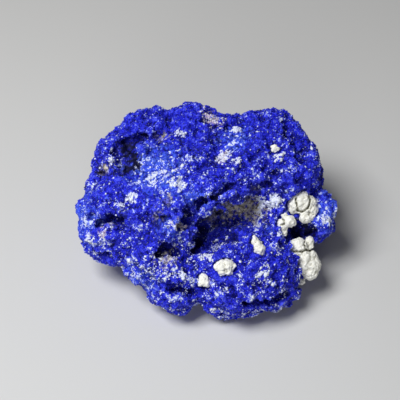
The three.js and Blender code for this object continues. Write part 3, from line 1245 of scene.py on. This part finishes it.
@dataclass
class Crust:
    """The nodule's own skin: lumps and creases from a millimetre up, and fine grain below that."""

    name: str = "azurite_crust"
    seat_grow: float = 0.35
    seat_sink: float = 1.3
    sink: float = 0.15
    first_voxel: float = 0.4
    last_voxel: float = 0.3
    smoothing: float = 0.5
    first_rounds: int = 3
    last_rounds: int = 2
    lumps: Bumps = ((Pattern.SWELLS, 2.6, 1.8), (Pattern.BUTTONS, 1.9, 1.3))
    grain: Bumps = ((Pattern.CLOUDS, 0.9, 0.9), (Pattern.BUTTONS, 0.7, 0.5))
    crest_rounds: int = 60
    # painted light: crests lighter and creases darker, as light and shade fall on them
    painted_crest_tone: float = 0.25
    crest_limits: tuple[float, float] = (-0.3, 0.2)
    # painted shade: darker the deeper a place lies in a hollow
    painted_hollow_shade: float = 0.12
    deep: tuple[float, float] = (0.8, 3.0)
    streak_size: float = 1.5
    streak_layers: int = 4
    streak_offset: float = 7.3
    streak_edge: tuple[float, float] = (0.1, 0.5)
    crown: tuple[float, float] = (2.0, 10.0)
    clean_crown: float = 0.6
    stains: StainMap = field(default_factory=StainMap)
    relief: Relief = field(default_factory=Relief)

    def build(self, material: Material) -> Object:
        """Models the crust around the nodule's solid and dresses it.

        Args:
            material: The crust's material.

        Returns:
            The finished crust.
        """
        crust = copy_of_node(NODULE, self.name)
        seats = [self.seat(node) for node in CLAY_NODES]
        select_only(crust, *seats)
        bpy.ops.object.join()
        remesh(crust, self.first_voxel)
        smooth(crust, self.smoothing, self.first_rounds)
        apply_modifier(crust, "DISPLACE", strength=-self.sink * MM, mid_level=0.0)
        self.carve(crust)
        roughen(crust, self.lumps)
        remesh(crust, self.last_voxel)
        roughen(crust, self.grain)
        keep_biggest_part(crust)
        keep_in_box(crust)
        self.write_surface(crust)
        dress(crust, material, Slot.AZURITE)
        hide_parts(NODULE)
        return crust

    def seat(self, node: str) -> Object:
        """Fills the pocket behind a clay lump, so that the crust closes around it.

        Args:
            node: The lump's solid.

        Returns:
            The filling.
        """
        low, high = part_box(node)
        grow = [1 + self.seat_grow * MM / half for half in (high - low) / 2]
        return sunk_copy(node, f"seat_{node}", grow, self.seat_sink)

    def carve(self, crust: Object) -> None:
        """Adds the lips and knobs to the crust and cuts the hollows out of it.

        Args:
            crust: The crust.
        """
        lips = self.relief.raise_lips(crust)
        tool = self.relief.hollow_tool(crust)
        select_only(crust, lips)
        bpy.ops.object.join()
        remesh(crust, self.first_voxel)
        cut_away(crust, tool)
        remesh(crust, self.first_voxel)
        smooth(crust, self.smoothing, self.last_rounds)
        keep_biggest_part(crust)

    def write_surface(self, crust: Object) -> None:
        """Stores each vertex's stains and painted shade, its streak, its tone of painted light and shade,
        and how far it stands out of the surface.

        Args:
            crust: The crust.
        """
        places = places_of(crust.data)
        below = self.depth_below(places)
        for stain in Stain:
            films = self.stains.strength(stain, places)
            lining = self.relief.lining(stain, places, below)
            write_values(crust.data, stain.value, np.maximum(films, lining))
        out = stand_out(crust, self.crest_rounds)
        write_values(crust.data, "crest", out)
        clean = self.clean_crown * smooth_step(places[:, 1] / MM, *self.crown)
        streak = wander(places, self.streak_size, self.streak_layers, self.streak_offset)
        write_values(crust.data, "streak", smooth_step(streak, *self.streak_edge) * (1 - clean))
        # tone: painted highlights on crests, painted shade in creases and deep in the hollows
        tone = np.clip(self.painted_crest_tone * out, *self.crest_limits)
        write_values(crust.data, "tone", tone - self.painted_hollow_shade * smooth_step(below, *self.deep))

    def depth_below(self, places: Array) -> Array:
        """Measures how far places are below the nodule's solid surface.

        Args:
            places: Points in metres.

        Returns:
            One depth in millimetres for each point, 0 outside the solid.
        """
        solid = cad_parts[NODULE]
        depths = []
        for place in map(Vector, places):
            _, on, out, _ = solid.closest_point_on_mesh(place)
            depths.append(max(0.0, (on - place).dot(out)))
        return np.array(depths) / MM


# ---------------------------------------------------------- scattered crystals


@dataclass
class Ground:
    """The triangles of a finished mesh, on which small things are scattered."""

    places: Array
    normals: Array
    triangles: Array
    values: dict[str, Array]

    @classmethod
    def of(cls, obj: Object, names: Sequence[str]) -> "Ground":
        """Reads an object's surface.

        Args:
            obj: The object.
            names: The names of the stored values to read with it.

        Returns:
            The ground.
        """
        mesh = obj.data
        values = {name: read(mesh.attributes[name].data, "value", 1)[:, 0] for name in names}
        return cls(places_of(mesh), normals_of(mesh), triangles_of(mesh), values)

    def scatter(self, count: int, rng: Chance, density: Array) -> tuple[Array, Array, dict[str, Array]]:
        """Picks random places on the surface.

        Args:
            count: How many.
            rng: The seeded source of chance.
            density: How likely a place near each vertex is.

        Returns:
            The places, their normals, and the stored values there.
        """
        a, b, c = (self.places[self.triangles[:, k]] for k in range(3))
        area = np.linalg.norm(np.cross(b - a, c - a), axis=1) / 2
        weight = area * density[self.triangles].mean(1)
        chosen = rng.choice(len(weight), count, p=weight / weight.sum())
        share = rng.random((count, 2))
        share = np.where(share.sum(1, keepdims=True) > 1, 1 - share, share)
        mix = np.column_stack([1 - share.sum(1), share])
        corners = self.triangles[chosen]

        def at_places(values: Array) -> Array:
            """Mixes the values at the corners of each place's triangle."""
            return np.einsum("nk,nk...->n...", mix, values[corners])

        normals = at_places(self.normals)
        normals /= np.linalg.norm(normals, axis=1, keepdims=True)
        return at_places(self.places), normals, {name: at_places(v) for name, v in self.values.items()}


def turned(normals: Array, lean: float, rng: Chance) -> Array:
    """Makes a random turn for each thing that stands on a surface.

    Args:
        normals: The surface's normals.
        lean: How far the things lean away from them, as a share of upright.
        rng: The seeded source of chance.

    Returns:
        One 3 by 3 matrix for each normal, whose third column points out of the surface.
    """
    up = normals + lean * rng.normal(size=normals.shape)
    up /= np.linalg.norm(up, axis=1, keepdims=True)
    side = np.cross(up, rng.normal(size=normals.shape))
    side /= np.linalg.norm(side, axis=1, keepdims=True)
    return np.stack([side, np.cross(up, side), up], axis=2)


@dataclass
class Shape:
    """One small thing, modelled once, that is then copied many times."""

    vertices: Array
    triangles: Array
    margin: float = 0.1  # the free edge of a cell of the bake map, as a share of its side

    @classmethod
    def taken_from(cls, obj: Object) -> "Shape":
        """Reads the shape from a modelled object, which is then removed.

        Args:
            obj: The object.

        Returns:
            The shape.
        """
        shape = cls(places_of(obj.data), triangles_of(obj.data))
        bpy.data.objects.remove(obj)
        return shape

    def spread(
        self, name: str, places: Array, turns: Array, sizes: Array, jitter: Array | float
    ) -> Object:
        """Copies the shape to many places as one joined mesh.

        Args:
            name: The new object's name.
            places: Where each copy goes.
            turns: How each copy is turned.
            sizes: Each copy's width, depth and height.
            jitter: How far each vertex of each copy is moved, as a share of the size.

        Returns:
            The new object.
        """
        count, corners = len(places), len(self.vertices)
        local = (self.vertices[None] + jitter) * sizes[:, None, :]
        vertices = np.einsum("nij,nkj->nki", turns, local) + places[:, None, :]
        faces = (self.triangles[None] + (np.arange(count) * corners)[:, None, None]).reshape(-1, 3)
        mesh = bpy.data.meshes.new(name)
        mesh.vertices.add(count * corners)
        mesh.vertices.foreach_set("co", vertices.astype(np.float32).ravel())
        mesh.loops.add(faces.size)
        mesh.loops.foreach_set("vertex_index", faces.astype(np.int32).ravel())
        mesh.polygons.add(len(faces))
        mesh.polygons.foreach_set("loop_start", np.arange(0, faces.size, 3, dtype=np.int32))
        mesh.update(calc_edges=True)
        mesh.validate()
        self.write_cells(mesh, count)
        return new_object(name, mesh)

    def write_cells(self, mesh: Mesh, count: int) -> None:
        """Lays each copy's faces out in the copy's own cell of the bake map, so its colour bakes evenly.

        Args:
            mesh: The joined mesh.
            count: How many copies it holds.
        """
        across = math.ceil(math.sqrt(count))
        cell = np.arange(count)
        corner = np.column_stack([cell % across, cell // across]) / across
        low, high = self.margin, 1 - self.margin
        flat = np.array([(low, low), (high, low), (low, high)]) / across
        per_copy = np.tile(flat, (len(self.triangles), 1))
        uv = (corner[:, None, :] + per_copy[None]).reshape(-1, 2)
        mesh.uv_layers.new(name="OFBake").uv.foreach_set("vector", uv.astype(np.float32).ravel())


@dataclass
class Strewn:
    """Small things of one shape, strewn over the crust: their size and lift in mm, and what varies."""

    size: Point
    size_spread: float
    shape_spread: float
    jitter: float
    lean: float
    lift: float = 0.0
    sunk: float = 0.0  # how deep in the crust, as a share of a thing's height
    swell: float = 0.0  # how much bigger on chalk

    def strew(
        self, name: str, count: int, shape: Shape, ground: Ground, density: Array, rng: Chance
    ) -> tuple[Object, dict[str, Array]]:
        """Strews the things as one piece.

        Args:
            name: The piece's name.
            count: How many things it holds.
            shape: Their shape.
            ground: The crust.
            density: How likely one is near each of the crust's vertices.
            rng: The seeded source of chance.

        Returns:
            The piece, and the crust's stored values under each thing.
        """
        places, normals, values = ground.scatter(count, rng, density)
        turns = turned(normals, self.lean, rng)
        swell = self.swell * values["chalk"][:, None]
        scale = np.exp(rng.normal(0, self.size_spread, (count, 1)) + swell)
        each = np.exp(rng.normal(0, self.shape_spread, (count, 3)))
        sizes = np.array(self.size) * MM * scale * each
        jitter = rng.normal(0, self.jitter, (count, len(shape.vertices), 3))
        rise = self.lift * MM - self.sunk * sizes[:, 2:]
        piece = shape.spread(name, places + normals * rise, turns, sizes, jitter)
        keep_in_box(piece)
        return piece, values


@dataclass
class CrystalCoat:
    """The crystals that stand on the crust: stubby, chisel-ended and packed side by side."""

    name: str = "azurite_crystals"
    count: int = 75000
    pieces: int = 5
    crystals: Strewn = field(
        default_factory=lambda: Strewn((0.17, 0.13, 0.14), 0.28, 0.18, jitter=0.06, lean=0.35, sunk=0.15)
    )
    ridge: float = 0.45
    ridge_length: float = 0.6
    upright: float = 0.9  # a face whose normal rises more than this is an end
    bare: float = 0.85
    foot: tuple[float, float] = (0.2, 2.5)
    on_foot: float = 0.35
    tone_spread: float = 0.15
    # painted light: crystals on crests lighter, crystals in creases darker
    painted_crest_tone: float = 0.3
    crest_limits: tuple[float, float] = (-0.3, 0.15)
    powdered: float = 0.03
    powdered_plain: float = 0.3
    powdered_streak: float = 1.4
    powdered_chalk: float = 0.8
    powder: tuple[float, float] = (0.2, 1.0)
    rosy: float = 0.7
    seed: int = 11

    def crystal(self) -> Shape:
        """Models one crystal: a root that tapers to a point and a roof with a ridge.

        Returns:
            The crystal, one unit wide, deep and high without its ridge.
        """
        bpy.ops.object.select_all(action="DESELECT")
        bpy.ops.mesh.primitive_cube_add(size=1.0)
        crystal = bpy.context.object
        bpy.ops.object.mode_set(mode="EDIT")
        bpy.ops.mesh.select_mode(type="FACE")
        self.select_end(crystal, -1)
        bpy.ops.mesh.merge(type="CENTER")
        self.select_end(crystal, 1)
        bpy.ops.mesh.extrude_region_move(TRANSFORM_OT_translate={"value": (0, 0, self.ridge)})
        bpy.ops.transform.resize(value=(0.0, self.ridge_length, 1.0))
        bpy.ops.mesh.select_all(action="SELECT")
        bpy.ops.mesh.remove_doubles(threshold=SAME_POINT)
        bpy.ops.mesh.normals_make_consistent(inside=False)
        bpy.ops.object.mode_set(mode="OBJECT")
        return Shape.taken_from(crystal)

    def select_end(self, crystal: Object, way: int) -> None:
        """Selects one end face.

        Args:
            crystal: The crystal, in edit mode.
            way: 1 for the face that points up, -1 for the one that points down.
        """
        bpy.ops.mesh.select_all(action="DESELECT")
        bpy.ops.object.mode_set(mode="OBJECT")
        for face in crystal.data.polygons:
            face.select = face.normal.z * way > self.upright
        bpy.ops.object.mode_set(mode="EDIT")

    def build(self, ground: Ground, material: Material) -> list[Object]:
        """Grows the crystals on the crust, in several pieces.

        Args:
            ground: The crust.
            material: The crystals' material.

        Returns:
            The pieces.
        """
        shape = self.crystal()
        rng = np.random.default_rng(self.seed)
        # fewer crystals on earth and where painted shade lies
        earth_and_shade = np.maximum(ground.values["earth"], ground.values["soot"])
        height = smooth_step(ground.places[:, 2] / MM, *self.foot)
        density = (1 - self.bare * earth_and_shade) * (self.on_foot + (1 - self.on_foot) * height)
        made = []
        for number in range(self.pieces):
            name, count = f"{self.name}_{number + 1}", self.count // self.pieces
            piece, values = self.crystals.strew(name, count, shape, ground, density, rng)
            self.write_tones(piece, len(shape.vertices), values, rng)
            dress(piece, material, Slot.AZURITE)
            made.append(piece)
        return made

    def write_tones(self, piece: Object, corners: int, values: dict[str, Array], rng: Chance) -> None:
        """Gives each crystal its own random tone of blue, with painted light on crests and painted shade in
        creases, and the stains of the crust under it.

        Args:
            piece: The piece.
            corners: How many vertices one crystal has.
            values: The crust's stored values under each crystal.
            rng: The seeded source of chance.
        """
        count = len(values["crest"])
        tone = rng.normal(0.0, self.tone_spread, count)
        # painted highlights on crests, painted shade in creases
        tone = tone + np.clip(self.painted_crest_tone * values["crest"], *self.crest_limits)
        write_values(piece.data, "tone", np.repeat(tone, corners))
        write_values(piece.data, "streak", np.repeat(values["streak"], corners))
        for stain in Stain:
            strength = values[stain.value]
            if stain is Stain.CHALK:
                powdered = self.powdered * (self.powdered_plain + self.powdered_streak * values["streak"])
                powdered = (powdered + self.powdered_chalk * strength**2) * (1 - values["soot"])
                strength = rng.uniform(*self.powder, count) * (rng.random(count) < powdered)
            elif stain is Stain.ROSE:
                strength = strength * (rng.random(count) < self.rosy * strength)
            write_values(piece.data, stain.value, np.repeat(strength, corners))


@dataclass
class Dusting:
    """Loose clay grains caught on the crust: few all over, more low down and in the stained patches."""

    name: str = "clay_dusting"
    count: int = 11000
    grains: Strewn = field(
        default_factory=lambda: Strewn(
            (0.18, 0.18, 0.09), 0.5, 0.2, jitter=0.09, lean=0.3, lift=0.04, swell=0.1
        )
    )
    low_down: tuple[float, float] = (8.0, 20.0)
    in_front: tuple[float, float] = (-12.0, 2.0)
    thin: float = 0.006
    streaked: float = 0.05
    streaked_low: float = 0.22
    chalked: float = 2.4
    # how much thinner the grains lie under painted shade
    shade_thinning: float = 0.95
    tint: float = 0.04
    rose_tint: float = 0.55
    rusty: float = 0.06
    rust_tint: float = 0.8
    seed: int = 23

    def grain(self) -> Shape:
        """Models one grain, a blunt crumb of eight faces.

        Returns:
            The grain, one unit wide, deep and high.
        """
        bpy.ops.object.select_all(action="DESELECT")
        bpy.ops.mesh.primitive_uv_sphere_add(segments=4, ring_count=2, radius=0.5)
        return Shape.taken_from(bpy.context.object)

    def build(self, ground: Ground, material: Material) -> Object:
        """Scatters the grains over the crust.

        Args:
            ground: The crust.
            material: The grains' material.

        Returns:
            The grains as one piece.
        """
        shape = self.grain()
        rng = np.random.default_rng(self.seed)
        chalk = np.maximum(ground.values["chalk"], ground.values["rose"])
        low_down = 1 - smooth_step(ground.places[:, 2] / MM, *self.low_down)
        in_front = 1 - smooth_step(ground.places[:, 1] / MM, *self.in_front)
        streaked = ground.values["streak"] * (self.streaked + self.streaked_low * low_down * in_front)
        density = self.thin + streaked + self.chalked * chalk**3
        # fewer grains where painted shade lies
        density = density * (1 - self.shade_thinning * ground.values["soot"])
        dusting, values = self.grains.strew(self.name, self.count, shape, ground, density, rng)
        tint = self.tint * rng.random(self.count)
        tint = tint + self.rose_tint * values["rose"] * rng.random(self.count)
        tint = tint + self.rust_tint * (rng.random(self.count) < self.rusty * values["rose"])
        write_values(dusting.data, "tone", np.repeat(tint, len(shape.vertices)))
        dress(dusting, material, Slot.DUSTING)
        return dusting


# ----------------------------------------------------------------------- clay


@dataclass
class ClayLump:
    """A lump of dried clay, crumbled into lobes with cracks between them, in its pocket of the crust."""

    node: str
    voxel: float = 0.12
    core: float = 0.8
    core_sink: float = 0.5
    lumps: Bumps = ((Pattern.BUTTONS, 1.1, 0.5), (Pattern.CLOUDS, 0.6, 0.4))
    grain: Bumps = ((Pattern.BUTTONS, 0.55, 0.26), (Pattern.CLOUDS, 0.3, 0.22))
    face_reach: float = 5.0
    crack_stride: float = 0.3
    crack_step: float = 0.5
    crack_taper: float = 0.6
    crest_rounds: int = 30
    crest_edge: tuple[float, float] = (-0.3, 0.15)
    # painted highlight on the crests, leaving painted shade in the dents
    painted_crest_light: float = 0.6

    def build(self, material: Material) -> Object:
        """Models the lump from a core, made of its solid, and its lobes, and dresses it.

        Args:
            material: The clay's material.

        Returns:
            The finished lump.
        """
        lump = sunk_copy(self.node, f"{self.node}_lump", (self.core,) * 3, self.core_sink)
        lobes = LUMPS[self.node]
        middles = np.array([on_face(self.node, lobe.right, lobe.up) for lobe in lobes])
        radii = np.array([lobe.radius for lobe in lobes]) * MM
        select_only(lump, chain_of_balls(f"{self.node}_lobes", [(middles, radii)]))
        bpy.ops.object.join()
        remesh(lump, self.voxel)
        roughen(lump, self.lumps)
        remesh(lump, self.voxel)
        self.crack(lump)
        roughen(lump, self.grain)
        # paints highlights on the crests and leaves the dents in painted shade
        crest = smooth_step(stand_out(lump, self.crest_rounds), *self.crest_edge)
        write_values(lump.data, "crest", crest * self.painted_crest_light)
        dress(lump, material, Slot.CLAY)
        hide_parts(self.node)
        return lump

    def crack(self, lump: Object) -> None:
        """Cuts the lump's cracks straight in from its open face.

        Args:
            lump: The lump.
        """
        balls = []
        for crack in CRACKS.get(self.node, ()):
            down = np.arange(0, crack.depth, self.crack_step * crack.radius)
            radii = crack.radius * (1 - self.crack_taper * down / crack.depth) * MM
            stops = [on_face(self.node, *point, self.face_reach) for point in crack.points]
            for start in stride(stops, self.crack_stride * crack.radius * MM):
                hit, mouth, _, _ = lump.ray_cast(start, -FACE_OUT)
                if hit:
                    balls.append((np.array(mouth) - np.array(FACE_OUT) * down[:, None] * MM, radii))
        if balls:
            tool = chain_of_balls(f"{self.node}_cracks", balls)
            remesh(tool, self.voxel)
            cut_away(lump, tool)
            remesh(lump, self.voxel)


# --------------------------------------------------------------------- studio


@dataclass(frozen=True)
class SoftBox:
    """A square soft light, turned to the specimen: its place and side in metres, its power in watts."""

    name: str
    place: Point
    side: float
    power: float
    aim: Point = (0.0, 0.0, 0.012)

    def hang(self) -> None:
        """Hangs the light."""
        turn = (Vector(self.aim) - Vector(self.place)).to_track_quat("-Z", "Y").to_euler()
        bpy.ops.object.light_add(type="AREA", location=self.place, rotation=turn)
        light = bpy.context.object
        light.name = self.name
        light.data.shape = "SQUARE"
        light.data.size = self.side
        light.data.energy = self.power


@dataclass
class Studio:
    """The floor, the soft lights and the camera."""

    floor_side: float = 1.6
    elevation: float = 45.0
    distance: float = 0.19666
    lens: float = 100.0
    sensor: float = 36.0
    near: float = 0.01
    aim: Point = (-0.95, -1.63, 3.17)
    ambient: float = 0.03
    lights: tuple[SoftBox, ...] = (
        SoftBox("overhead_soft_box", (-0.13, -0.08, 0.31), 0.15, 1.17),
        SoftBox("front_soft_box", (-0.03, -0.26, 0.12), 0.1, 0.13),
    )

    def build(self, floor_finish: PaleFloor) -> None:
        """Sets up the studio around the specimen.

        Args:
            floor_finish: What the floor is made of.
        """
        bpy.ops.object.select_all(action="DESELECT")
        bpy.ops.mesh.primitive_plane_add(size=self.floor_side, location=(0, 0, 0))
        floor = bpy.context.object
        floor.name = "floor"
        floor.data.materials.append(floor_finish.material())
        self.add_camera()
        for light in self.lights:
            light.hang()
        self.light_room()

    def add_camera(self) -> None:
        """Places the camera, looking down at the specimen from in front."""
        middle = (Vector(CAD_BOX[0]) + Vector(CAD_BOX[1])) / 2
        aim = middle + Vector(self.aim) * MM
        slope = math.radians(self.elevation)
        away = Vector((0, -math.cos(slope), math.sin(slope))) * self.distance
        bpy.ops.object.camera_add(location=aim + away, rotation=(math.pi / 2 - slope, 0, 0))
        camera = bpy.context.object
        camera.data.lens = self.lens
        camera.data.sensor_width = self.sensor
        camera.data.clip_start = self.near
        bpy.context.scene.camera = camera

    def light_room(self) -> None:
        """Fills the room with a weak even light and shows colours as they are."""
        world = bpy.data.worlds.new("studio_room")
        world.use_nodes = True
        background = {"Color": linear("#ffffff"), "Strength": self.ambient}
        plug(world.node_tree, world.node_tree.nodes["Background"], background)
        bpy.context.scene.world = world
        bpy.context.scene.view_settings.view_transform = "Standard"


def main() -> None:
    """Builds the studio and the specimen's pieces in order, and reports each piece."""
    logging.basicConfig(level=logging.INFO, format="%(name)s %(message)s")
    Studio().build(PaleFloor())
    azurite = DrusyAzurite()
    crust = Crust().build(azurite.material(crystals=False))
    ground = Ground.of(crust, [*(stain.value for stain in Stain), "crest", "streak"])
    crystals = CrystalCoat().build(ground, azurite.material(crystals=True))
    dusting = Dusting().build(ground, ClayDust().material())
    clay = KaolinClay().material()
    lumps = [ClayLump(node).build(clay) for node in CLAY_NODES]
    for piece in (crust, *crystals, dusting, *lumps):
        log.info("%s: %d triangles", piece.name, len(triangles_of(piece.data)))


if __name__ == "__main__":
    main()
